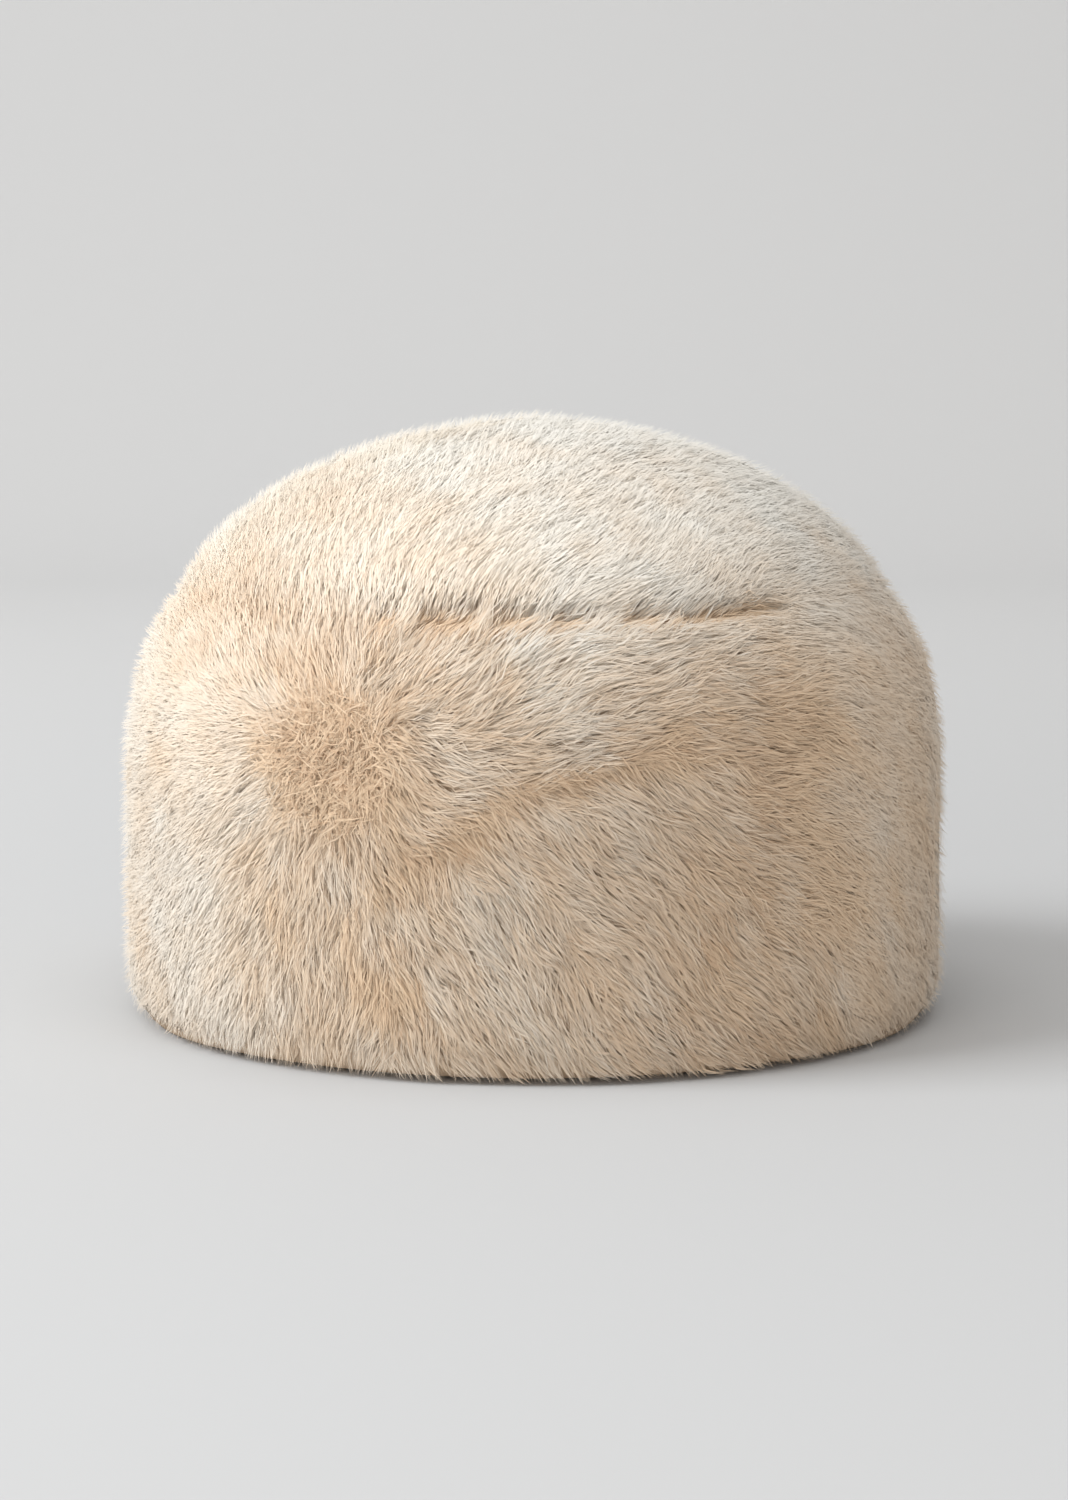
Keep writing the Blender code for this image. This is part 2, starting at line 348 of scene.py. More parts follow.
SEAM_GAPS = (
    Gap(from_deg=-25, to_deg=-20, depth=0.75),
    Gap(from_deg=-17, to_deg=-7.5, depth=0.90),
    Gap(from_deg=-5.5, to_deg=1.5, depth=0.90),
    Gap(from_deg=4, to_deg=10, depth=1.00),
    Gap(from_deg=15, to_deg=21, depth=1.00),
    Gap(from_deg=23, to_deg=43, depth=1.00),
    Gap(from_deg=104, to_deg=120, depth=0.45),
    Gap(from_deg=152, to_deg=172, depth=0.40),
    Gap(from_deg=-168, to_deg=-154, depth=0.45),
    Gap(from_deg=-122, to_deg=-108, depth=0.40),
)


class Stop(NamedTuple):
    """A point of the parting: its angle round the hat, and its height as a share of the seam's height."""

    angle_deg: float
    height: float


PARTING = (
    Stop(angle_deg=-15, height=0.45),
    Stop(angle_deg=-8, height=0.54),
    Stop(angle_deg=-2, height=0.62),
    Stop(angle_deg=8, height=0.67),
    Stop(angle_deg=18, height=0.69),
    Stop(angle_deg=34, height=0.70),
)


def unit(vectors: np.ndarray) -> np.ndarray:
    """Rows of vectors at length 1."""
    return vectors / np.maximum(np.linalg.norm(vectors, axis=1, keepdims=True), 1e-12)


def dot(a: np.ndarray, b: np.ndarray) -> np.ndarray:
    """Row by row dot product, as a column."""
    return np.sum(a * b, axis=1, keepdims=True)


def soft_step(values: np.ndarray, low: float, high: float) -> np.ndarray:
    """0 below low, 1 above high and smooth between."""
    share = np.clip((values - low) / (high - low), 0.0, 1.0)
    return share * share * (3 - 2 * share)


def bump(values: np.ndarray, middle: float, spread: float) -> np.ndarray:
    """1 at the middle and falling smoothly to both sides, to about a third at the spread."""
    return np.exp(-(((values - middle) / spread) ** 2))


def between(ends: tuple[float, float], share: np.ndarray) -> np.ndarray:
    """Values between two ends: the first where the share is 0, and the second where it is 1."""
    return ends[0] + (ends[1] - ends[0]) * share


def angle_between(a: np.ndarray, b: float) -> np.ndarray:
    """The signed turn from b to a, within half a turn."""
    return np.arctan2(np.sin(a - b), np.cos(a - b))


def degrees_round(angle: np.ndarray) -> np.ndarray:
    """Angles round the hat in degrees, from -180 to 180, with 0 at the front."""
    return np.degrees(angle_between(angle, 0.0))


class Ramp(NamedTuple):
    """A soft step up from one value to another."""

    low: float
    high: float

    def at(self, values: np.ndarray) -> np.ndarray:
        """The step at each value, from 0 to 1."""
        return soft_step(values, self.low, self.high)


class Hill(NamedTuple):
    """A soft hill over a middle."""

    middle: float
    spread: float

    def at(self, values: np.ndarray) -> np.ndarray:
        """The hill at each value, from 0 to 1."""
        return bump(values, self.middle, self.spread)


@dataclass
class HatForm:
    """The outer form of the pile: an outline that is carried round an oval."""

    half_width: float
    half_depth: float
    seam_height: float
    top_height: float
    pile_depth: float
    span_steps: int = 12
    groove_depth: float = 2.9 * MM
    groove_half_width: float = 2.7 * MM
    groove_rise: float = 3.2 * MM
    groove_elsewhere: float = 0.12
    groove_fall: float = 4.0
    gap_edge_deg: float = 1.0
    tuck_depth: float = 4.0 * MM
    tuck_height: float = 9 * MM
    calm_share: float = 0.84
    calm_flank_deg: Ramp = Ramp(30, 62)
    calm_top_share: Ramp = Ramp(0.98, 1.18)

    @classmethod
    def from_frame(cls, pile_depth: float = 18 * MM, seam_over_pile: float = 1.2 * MM) -> "HatForm":
        """The form round the frame's hides.

        Args:
            pile_depth: how deep the pile stands on the hide.
            seam_over_pile: how much higher the seam lies than the band's solid pile.

        Returns:
            The form.
        """
        _, band_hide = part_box("band_hide")
        _, crown_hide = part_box("crown_hide")
        _, band_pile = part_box("band_pile")
        return cls(
            half_width=band_hide.x + pile_depth,
            half_depth=band_hide.y + pile_depth,
            seam_height=band_pile.z + seam_over_pile,
            top_height=crown_hide.z + pile_depth,
            pile_depth=pile_depth,
        )

    @cached_property
    def line(self) -> np.ndarray:
        """Close points of a smooth curve through the levels, as rows of half width and height."""
        rise = self.top_height - self.seam_height
        band = [(lv.reach * self.half_width, lv.height * self.seam_height) for lv in BAND_LEVELS]
        seam_reach = band[-1][0]
        crown = [(lv.reach * seam_reach, self.seam_height + lv.height * rise) for lv in CROWN_LEVELS]
        knots = np.array(band + crown)
        first = 2 * knots[0] - knots[1]
        last = np.array([2 * knots[-1][0] - knots[-2][0], knots[-2][1]])
        knots = np.vstack([first, knots, last])
        share = np.linspace(0.0, 1.0, self.span_steps, endpoint=False)[:, None]
        spans = []
        for before, start, end, after in zip(knots, knots[1:], knots[2:], knots[3:]):
            bend = 2 * before - 5 * start + 4 * end - after
            twist = -before + 3 * start - 3 * end + after
            spans.append(0.5 * (2 * start + (end - before) * share + bend * share**2 + twist * share**3))
        return np.vstack(spans + [knots[-2][None]])

    @cached_property
    def at(self) -> np.ndarray:
        """Distance along the outline at each of its points."""
        return np.concatenate([[0.0], np.cumsum(np.linalg.norm(np.diff(self.line, axis=0), axis=1))])

    @cached_property
    def slope(self) -> np.ndarray:
        """The outline's direction at each of its points, upright at the floor and level at the top."""
        slope = unit(np.gradient(self.line, self.at, axis=0))
        slope[0], slope[-1] = (0.0, 1.0), (-1.0, 0.0)
        return slope

    @property
    def seam(self) -> float:
        """Distance along the outline at the seam."""
        return float(self.at[(len(BAND_LEVELS) - 1) * self.span_steps])

    @property
    def top(self) -> float:
        """Distance along the outline at the top."""
        return float(self.at[-1])

    def section(self, along: np.ndarray, depth: Amount = 0.0) -> Pair:
        """Half width and height at a distance along the outline and a depth in the pile."""
        slope = self.direction(along)
        reach = np.interp(along, self.at, self.line[:, 0]) - depth * slope[:, 1]
        height = np.interp(along, self.at, self.line[:, 1]) + depth * slope[:, 0]
        return reach, height

    def direction(self, along: np.ndarray) -> np.ndarray:
        """The outline's direction at a distance along it, as rows of outwards and upwards."""
        columns = [np.interp(along, self.at, self.slope[:, k]) for k in range(2)]
        return unit(np.stack(columns, axis=1))

    def place(self, along: np.ndarray, angle: np.ndarray, depth: Amount = 0.0) -> np.ndarray:
        """Points in space, from distances along the outline, angles (0 in front, + to +X) and depths."""
        reach, height = self.section(along, depth)
        seam_reach = self.line[(len(BAND_LEVELS) - 1) * self.span_steps, 0]
        front = reach + (self.half_depth - self.half_width) * np.minimum(1.0, reach / seam_reach)
        return np.stack([reach * np.sin(angle), -front * np.cos(angle), height], axis=1)

    def outward(self, along: np.ndarray, angle: np.ndarray) -> np.ndarray:
        """The normal of the outer form."""
        slope = self.direction(along)
        across = np.stack([np.sin(angle), -np.cos(angle), np.zeros_like(angle)], axis=1) * slope[:, 1:]
        across[:, 2] = -slope[:, 0]
        return unit(across)

    def locate(self, points: np.ndarray, along: np.ndarray) -> Pair:
        """Where points near the form lie on it.

        Args:
            points: rows of X, Y and Z.
            along: a first guess of their distance along the outline.

        Returns:
            Their distance along the outline, and their angle.
        """
        stretch = self.half_width / self.half_depth
        angle = np.arctan2(points[:, 0], -points[:, 1] * stretch)
        reach = np.hypot(points[:, 0], points[:, 1] * stretch)
        found = along.copy()
        for _ in range(3):
            at_reach, at_height = self.section(found)
            slope = self.direction(found)
            found += (reach - at_reach) * slope[:, 0] + (points[:, 2] - at_height) * slope[:, 1]
            found = np.clip(found, 0.0, self.top)
        return found, angle

    def gap_strength(self, angle: np.ndarray) -> np.ndarray:
        """How open the seam's groove is round the hat, from 0 to 1."""
        turned, edge = degrees_round(angle), self.gap_edge_deg
        strength = np.full_like(turned, self.groove_elsewhere)
        for gap in SEAM_GAPS:
            inside = soft_step(turned, gap.from_deg - edge, gap.from_deg + edge)
            inside *= 1 - soft_step(turned, gap.to_deg - edge, gap.to_deg + edge)
            strength += (gap.depth - self.groove_elsewhere) * inside
        return strength

    def hollowed(self, along: np.ndarray, angle: np.ndarray) -> np.ndarray:
        """How far the seam's groove and the soft dents take the pile in."""
        from_seam = (along - self.seam - self.groove_rise) / self.groove_half_width
        groove = self.groove_depth * self.gap_strength(angle) * self.groove_fall ** -(from_seam**2)
        return groove + self.dented(along, angle)

    def sunk(self, along: np.ndarray, angle: np.ndarray) -> np.ndarray:
        """How far the pile goes in: at the groove, at the dents and under the hem at the sides."""
        tuck = self.tuck_depth * np.clip(1 - along / self.tuck_height, 0.0, 1.0) ** 2
        return self.hollowed(along, angle) + tuck * np.sin(angle) ** 4

    def dented(self, along: np.ndarray, angle: np.ndarray) -> np.ndarray:
        """How far the soft dents take the pile in."""
        depth = np.zeros_like(along)
        height = np.interp(along, self.at, self.line[:, 1])
        for dent in DENTS:
            turned = angle_between(angle, math.radians(dent.angle_deg)) * self.half_width / self.seam_height
            risen = height / self.seam_height - dent.height
            turn = math.radians(dent.turn_deg)
            lengthways = (turned * math.cos(turn) + risen * math.sin(turn)) / dent.half_length
            sideways = (risen * math.cos(turn) - turned * math.sin(turn)) / dent.half_width
            depth = depth + dent.depth * self.pile_depth * bump(np.hypot(lengthways, sideways), 0.0, 1.0)
        return depth

    def unruly(self, points: np.ndarray, angle: np.ndarray) -> np.ndarray:
        """How loosely the fur lies: 1 in the middle of the front, and less on the flanks and the top."""
        flank = self.calm_flank_deg.at(np.abs(degrees_round(angle)))
        top = self.calm_top_share.at(points[:, 2] / self.seam_height)
        return 1 - self.calm_share * np.maximum(flank, top)


@dataclass(frozen=True)
class Ripple:
    """Smooth random waves through space, about -1 to 1."""

    seed: int
    wavelength: float
    waves: int = 20

    def at(self, points: np.ndarray) -> np.ndarray:
        """The ripple at each point, given as rows of X, Y and Z."""
        chance = np.random.default_rng(self.seed)
        ways = unit(chance.normal(size=(self.waves, 3)))
        turns = 2 * math.pi / self.wavelength * chance.uniform(0.6, 1.6, self.waves)
        starts = chance.uniform(0, 2 * math.pi, self.waves)
        total = np.zeros(len(points))
        for way, turn, start in zip(ways, turns, starts):
            total += np.sin(points @ (way * turn) + start)
        return total * math.sqrt(1.0 / self.waves)


@dataclass
class Combing:
    """Which way the fur lies: away from a whorl, turning down behind it, in slow waves."""

    form: HatForm
    whorl_angle: float = math.radians(-29.5)
    whorl_height: float = 79 * MM
    fall_in_front: float = 10 * MM
    fall_behind: float = 120 * MM
    broad_turn: float = math.radians(9)
    fine_turn: float = math.radians(6)
    broad: Ripple = Ripple(3, 60 * MM)
    fine: Ripple = Ripple(4, 16 * MM)
    lift_at_seam: float = 22 * MM
    seam_heights: Ramp = Ramp(80 * MM, 108 * MM)
    lift_on_crown: float = 26 * MM
    crown_heights: Ramp = Ramp(108 * MM, 125 * MM)
    above_parting: float = math.radians(20)
    below_parting: float = math.radians(-14)
    parting_edge: Ramp = Ramp(-1.5 * MM, 1.5 * MM)
    parting_reach: float = 20 * MM
    parting_start_deg: float = 3.0

    @cached_property
    def whorl(self) -> np.ndarray:
        """The whorl's place."""
        along = np.interp([self.whorl_height], self.form.line[:, 1], self.form.at)
        return self.form.place(along, np.array([self.whorl_angle]))[0]

    def lie(self, points: np.ndarray, outward: np.ndarray, angle: np.ndarray) -> Pair:
        """The way that the fur points along the surface, and how far each point is from the whorl.

        Args:
            points: rows of X, Y and Z on the outer form.
            outward: its normals there.
            angle: their angles round the hat.

        Returns:
            Unit vectors along the surface, and distances.
        """
        away = points - self.whorl
        reach = np.linalg.norm(away, axis=1)
        behind = (1 - np.cos(angle - self.whorl_angle)) / 2
        away[:, 2] -= self.fall_in_front + self.fall_behind * behind**2
        away[:, 2] += self.lift_at_seam * self.seam_heights.at(points[:, 2])
        away[:, 2] += self.lift_on_crown * self.crown_heights.at(points[:, 2])
        along = unit(away - outward * dot(away, outward))
        turn = self.broad_turn * self.broad.at(points) + self.fine_turn * self.fine.at(points)
        side, near = self.parting(points[:, 2], angle)
        turn += near * between((self.below_parting, self.above_parting), self.parting_edge.at(side))
        across = np.cross(outward, along)
        return along * np.cos(turn)[:, None] + across * np.sin(turn)[:, None], reach

    def parting(self, height: np.ndarray, angle: np.ndarray) -> Pair:
        """Heights over the parting, which runs up to the right, and how near it is, from 0 to 1."""
        turned, start = degrees_round(angle), self.parting_start_deg
        stops = [stop.angle_deg for stop in PARTING]
        side = height - np.interp(turned, stops, [stop.height * self.form.seam_height for stop in PARTING])
        fade = soft_step(turned, stops[0] - start, stops[0] + start)
        fade *= 1 - soft_step(turned, stops[-2], stops[-1])
        return side, fade * bump(side, 0.0, self.parting_reach)


# ---- Pieces


def dress(piece: bpy.types.Object, material: bpy.types.Material) -> None:
    """Gives a piece its one material."""
    piece.data.materials.clear()
    piece.data.materials.append(material)


def deselect() -> None:
    """Leaves nothing selected and nothing active."""
    for piece in bpy.data.objects:
        piece.select_set(False)
    bpy.context.view_layer.objects.active = None


@dataclass
class Underfur:
    """The dense wool under the hairs: one turned shell on the band and one on the crown."""

    form: HatForm
    under_depth: float = 4.4 * MM
    calm_lift: float = 2.4 * MM
    clear_of_hide: float = 0.5 * MM
    hem_height: float = 1.2 * MM
    seam_margin: float = 1.0 * MM
    columns: int = 96
    band_rings: int = 18
    crown_rings: int = 16
    groove_angle: float = math.radians(32)
    lump_size: float = 9 * MM
    lump_height: float = 0.8 * MM

    def depth_at(self, along: float) -> float:
        """How far under the outer form the shell lies, deeper in the seam's groove."""
        groove = float(self.form.sunk(np.array([along]), np.array([self.groove_angle]))[0])
        return min(self.under_depth + groove, self.form.pile_depth - 3 * self.clear_of_hide)

    def ring_at(self, along: float) -> tuple[Vector, float]:
        """Half sizes of the ring at a distance along the outline, and its height."""
        spot = np.array([along, along])
        points = self.form.place(spot, np.array([math.pi / 2, math.pi]), self.depth_at(along))
        return Vector((points[0, 0], points[1, 1], 0.0)), max(points[0, 2], self.hem_height)

    def turned(self, name: str, stops: Iterable[float]) -> bpy.types.Object:
        """Extrudes a ring up along the outline.

        Args:
            name: the piece's name.
            stops: distances along the outline, one for each ring.

        Returns:
            The open surface.
        """
        rings = [self.ring_at(stop) for stop in stops]
        size, height = rings[0]
        deselect()
        bpy.ops.mesh.primitive_circle_add(vertices=self.columns, radius=1.0, location=(0, 0, height))
        piece = bpy.context.object
        piece.name = piece.data.name = name
        bpy.ops.object.mode_set(mode="EDIT")
        bpy.ops.mesh.select_all(action="SELECT")
        bpy.ops.transform.resize(value=(size.x, size.y, 1.0), center_override=(0, 0, height))
        for wide, high in rings[1:]:
            move = {"value": (0, 0, high - height)}
            bpy.ops.mesh.extrude_edges_move(TRANSFORM_OT_translate=move)
            grow = (wide.x / size.x, wide.y / size.y, 1.0)
            bpy.ops.transform.resize(value=grow, center_override=(0, 0, high))
            size, height = wide, high
        return piece

    def raise_calm(self, piece: bpy.types.Object) -> None:
        """Lifts a shell towards the hair's tips wherever the hair lies flat."""
        group = piece.vertex_groups.new(name="calm")
        points = np.array([vertex.co for vertex in piece.data.vertices])
        calm = 1 - self.form.unruly(points, np.arctan2(points[:, 0], -points[:, 1]))
        for vertex, weight in zip(piece.data.vertices, calm):
            group.add([vertex.index], float(weight), "REPLACE")
        lift = piece.modifiers.new("lift", "DISPLACE")
        lift.vertex_group, lift.strength, lift.mid_level = group.name, self.calm_lift, 0.0

    def thicken(self, piece: bpy.types.Object) -> None:
        """Turns a surface in edit mode to face out, and gives it soft lumps and its wall inwards."""
        bpy.ops.mesh.select_all(action="SELECT")
        bpy.ops.mesh.normals_make_consistent(inside=False)
        bpy.ops.object.mode_set(mode="OBJECT")
        bpy.ops.object.transform_apply(location=True, rotation=True, scale=True)
        self.raise_calm(piece)
        lumps = bpy.data.textures.new(f"{piece.name}_lumps", "CLOUDS")
        lumps.noise_scale = self.lump_size
        settle = piece.modifiers.new("lumps", "DISPLACE")
        settle.texture, settle.texture_coords = lumps, "LOCAL"
        settle.strength, settle.mid_level = self.lump_height, 0.5
        wall = piece.modifiers.new("wall", "SOLIDIFY")
        wall.thickness = self.form.pile_depth - self.under_depth - self.clear_of_hide - self.lump_height
        wall.offset = -1.0
        wall.use_even_offset = False
        for name in ("lift", "lumps", "wall"):
            bpy.ops.object.modifier_apply(modifier=name)
        bpy.ops.object.shade_smooth()

    def band(self) -> bpy.types.Object:
        """The shell on the band."""
        stops = np.linspace(0.0, self.form.seam - self.seam_margin, self.band_rings)
        piece = self.turned("band_underfur", stops)
        self.thicken(piece)
        return piece

    def crown(self) -> bpy.types.Object:
        """The shell on the crown, closed over its top by a grid."""
        edge = self.form.seam + self.seam_margin
        stops = self.form.top - (self.form.top - edge) * np.linspace(1.0, 0.12, self.crown_rings)
        piece = self.turned("crown_underfur", stops)
        bpy.ops.mesh.fill_grid()
        self.thicken(piece)
        return piece


class Pelt(Enum):
    """The two pelts, by the CAD node that each one's fur replaces."""

    BAND = "band_pile"
    CROWN = "crown_pile"


@dataclass
class Rows:
    """Arrays that belong together, with one row in each for every place, wisp or hair."""

    def part(self, chosen: np.ndarray) -> Self:
        """Only the chosen rows. A row that is chosen by number may come more than once."""
        return type(self)(*(getattr(self, item.name)[chosen] for item in fields(self)))


@dataclass
class Places(Rows):
    """Where wisps may grow, and how the fur lies there."""

    along: np.ndarray
    angle: np.ndarray
    base: np.ndarray
    outward: np.ndarray
    lie: np.ndarray
    reach: np.ndarray
    unruly: np.ndarray
    stand: np.ndarray
    bridging: np.ndarray


@dataclass
class Wisps(Rows):
    """Wisps of a few hairs: where each one lies, and what its hairs have in common."""

    along: np.ndarray
    angle: np.ndarray
    base: np.ndarray
    outward: np.ndarray
    lie: np.ndarray
    unruly: np.ndarray
    stand: np.ndarray
    stray: np.ndarray
    to_centre: np.ndarray
    sink: np.ndarray
    long: np.ndarray
    tone: np.ndarray
    light: np.ndarray
    sway: np.ndarray
    roll: np.ndarray


@dataclass
class Hairs(Rows):
    """Hairs. Their side is half their width at the bend, and facing is the way that their shading faces."""

    root: np.ndarray
    bend: np.ndarray
    tip: np.ndarray
    side: np.ndarray
    facing: np.ndarray
    tone: np.ndarray
    light: np.ndarray
    fade: np.ndarray
    angle: np.ndarray

    def spots(self) -> np.ndarray:
        """Each hair's four places in the UV map: its tone in U, and in V its lightness, less at its root."""
        tone = np.clip(self.tone, 2 * MAP_HALF_WIDTH, 1 - 2 * MAP_HALF_WIDTH)
        across = tone[:, None] + MAP_HALF_WIDTH * np.array([0, 1, -1, 0])
        lightness = MAP_MIDDLE + MAP_REACH * np.clip(self.light, DARKEST, LIGHTEST)[:, None]
        return np.stack([across, lightness * (1 - self.fade[:, None] * np.array(DARKER_AT_POINTS))], axis=2)

    def to_piece(self, name: str) -> bpy.types.Object:
        """One mesh of all the hairs.

        Args:
            name: the piece's name.

        Returns:
            The piece, with its UV map and with normals that follow the hat rather than each flat hair.
        """
        count = len(self.tip)
        points = np.stack([self.root, self.bend + self.side, self.bend - self.side, self.tip], axis=1)
        corners = (np.arange(count)[:, None] * 4 + np.array([0, 1, 2, 2, 1, 3])).ravel()
        spots = self.spots().reshape(-1, 2)[corners]
        mesh = bpy.data.meshes.new(name)
        mesh.vertices.add(count * 4)
        mesh.vertices.foreach_set("co", points.astype(np.float32).ravel())
        mesh.loops.add(count * 6)
        mesh.loops.foreach_set("vertex_index", corners.astype(np.int32))
        mesh.polygons.add(count * 2)
        mesh.polygons.foreach_set("loop_start", np.arange(0, count * 6, 3, dtype=np.int32))
        mesh.update(calc_edges=True)
        layer = mesh.uv_layers.new(name=HAIR_MAP)
        layer.uv.foreach_set("vector", spots.astype(np.float32).ravel())
        mesh.shade_smooth()
        mesh.validate()
        mesh.normals_split_custom_set_from_vertices(np.repeat(self.facing, 4, axis=0).astype(np.float32))
        piece = bpy.data.objects.new(name, mesh)
        bpy.context.scene.collection.objects.link(piece)
        return piece


@dataclass
class Tufts:
    """Groups of wisps that lean on each other, and the random values that a group shares."""

    chance: np.random.Generator
    number: np.ndarray
    centres: np.ndarray

    def normal(self, tuft: float, wisp: float) -> np.ndarray:
        """A value for each wisp: a normal draw shared by its tuft plus one of its own, with these spreads."""
        shared = self.chance.normal(scale=tuft, size=len(self.centres))[self.number]
        return shared + self.chance.normal(scale=wisp, size=len(self.number))

    def even(self, most: float) -> np.ndarray:
        """A value for each wisp: the same with two even draws from 0 to the most."""
        shared = self.chance.uniform(0.0, most, len(self.centres))[self.number]
        return shared + self.chance.uniform(0.0, most, len(self.number))


@dataclass(frozen=True)
class Cut:
    """The hairs' sizes and how they stand. The pairs hold a value for calm fur and one for unruly fur."""

    length: float = 11.0 * MM
    blade: float = 0.12 * MM
    widening: tuple[float, float] = (1.7, 1.0)
    wisp_radius: float = 0.2 * MM
    wisp_stretch: float = 2.2
    apart_at_root: float = 1.1
    apart_at_bend: float = 0.9
    apart_at_tip: float = 0.6
    lying: float = math.radians(18)
    lying_share: tuple[float, float] = (0.5, 1.0)
    standing: float = math.radians(27)
    least_stand: float = math.radians(5)
    most_stand: float = math.radians(86)
    root_rise: float = math.radians(20)
    root_rise_share: tuple[float, float] = (0.45, 1.0)
    most_rise: float = math.radians(88)
    tip_fall: float = math.radians(7)
    least_rise: float = math.radians(2)
    twist: tuple[float, float] = (0.3, 1.0)
    rounding: tuple[float, float] = (1.0, 0.8)
    fading: tuple[float, float] = (0.32, 1.0)
    pull: float = 0.11
    pull_share: tuple[float, float] = (0.5, 1.4)
    above_hide: float = 0.5 * MM
    above_floor: float = 0.1 * MM
    ragged_floor: float = 0.8 * MM
    parting_depth: float = 1.6 * MM
    parting_half_width: float = 1.8 * MM
    stray_stand: float = math.radians(30)
    stray_thinner: float = 0.4
    core_lift: float = 1.0 * MM
    tangle_shorter: float = 0.25
    bridging_shorter: float = 0.6
    tangle_light: float = -0.18
    core_light: float = 0.10


@dataclass(frozen=True)
class Spreads:
    """How much tufts, wisps and hairs differ: spreads of normal draws, shares of all, and ranges."""

    tuft_turn: float = math.radians(7)
    wisp_turn: float = 0.10
    tangle_turn: float = 1.3
    tuft_stand: float = math.radians(4)
    wisp_stand: float = 0.07
    hair_stand: float = math.radians(5)
    sink: float = 0.9 * MM
    tuft_length: float = 0.08
    wisp_length: float = 0.10
    hair_length: float = 0.10
    tuft_tone: float = 0.04
    wisp_tone: float = 0.05
    hair_tone: float = 0.04
    tuft_light: float = 0.20
    wisp_light: float = 0.34
    light_share: tuple[float, float] = (0.08, 1.18)
    tangle_light: float = 0.8
    hair_light: float = 0.12
    sway: float = 0.20
    wisp_roll: float = 0.40
    hair_roll: float = 0.2
    width: float = 0.15
    tip_depth: float = 0.6 * MM
    tip_rise: float = 0.7 * MM
    tip_share: tuple[float, float] = (0.35, 1.0)
    loose_share: float = 0.06
    loose_rise: tuple[float, float] = (0.4 * MM, 1.8 * MM)
    stray_share: float = 0.15
    stray_rise: tuple[float, float] = (0.8 * MM, 3.4 * MM)


class Patch(NamedTuple):
    """A soft patch of the coat, or of painted light or shade, and what it adds to the fur's tone and to its
    strands' lightness.

    Around the hat it has a hill, or ramps where it starts and ends, in degrees. Upwards it has a hill, or
    ramps where it rises and fades, as shares of the seam's height.
    """

    around: Hill | None = None
    start: Ramp | None = None
    end: Ramp | None = None
    level: Hill | None = None
    rise: Ramp | None = None
    fade: Ramp | None = None
    tone: float = 0.0
    light: float = 0.0

    def at(self, turned: np.ndarray, share: np.ndarray) -> np.ndarray:
        """How strong the patch is, from 0 to 1, at angles in degrees and shares of the seam's height."""
        strength = np.ones_like(turned)
        for shape in filter(None, (self.around, self.start)):
            strength *= shape.at(turned)
        for shape in filter(None, (self.level, self.rise)):
            strength *= shape.at(share)
        for ramp, values in ((self.end, turned), (self.fade, share)):
            if ramp:
                strength *= 1 - ramp.at(values)
        return strength


CROWN_RISE = Ramp(0.80, 1.30)
PATCHES = {
    "crown": Patch(rise=CROWN_RISE, tone=0.50),
    # Painted shade: a warmer tone on the crown's left, partly a warmer colour and partly toning down the key
    # light there
    "crown's left": Patch(around=Hill(-42, 30), rise=CROWN_RISE, fade=Ramp(1.25, 1.36), tone=-0.38),
    # Painted shade: a warmer, darker tone on the front right, on the side turned away from the key light
    "front": Patch(start=Ramp(-10, 50), end=Ramp(58, 104), fade=CROWN_RISE, tone=-0.26),
    # Painted highlight: a paler tone and lighter strands on the band's rounded top lip and the crown's edge
    # along the seam
    "lip": Patch(start=Ramp(-5, 10), end=Ramp(50, 75), level=Hill(1.0, 0.115), tone=0.17, light=0.55),
    # Painted rim light: a paler tone and lighter strands along the right edge
    "right rim": Patch(around=Hill(90, 28), tone=0.16, light=0.45),
    "left edge": Patch(around=Hill(-88, 30), fade=Ramp(0.796, 1.106), tone=0.24),
    # Painted shade: darker strands on the upper left, which faces the key light
    "left": Patch(around=Hill(-66, 36), rise=Ramp(0.60, 1.00), light=-0.85),
    # Painted light: a paler tone and lighter strands on the lower left, which the lamps leave darker
    "low left": Patch(around=Hill(-50, 14), fade=Ramp(0.425, 0.743), tone=0.14),
    "low left strands": Patch(around=Hill(-38, 17), fade=Ramp(0.549, 0.779), light=0.50),
    "low front": Patch(around=Hill(-25, 32), fade=Ramp(0.177, 0.442), tone=-0.07),
    # Painted shade: darker strands just above the floor, on the front and right side
    "hem": Patch(start=Ramp(-30, 20), fade=Ramp(0.018, 0.159), light=-0.40),
}


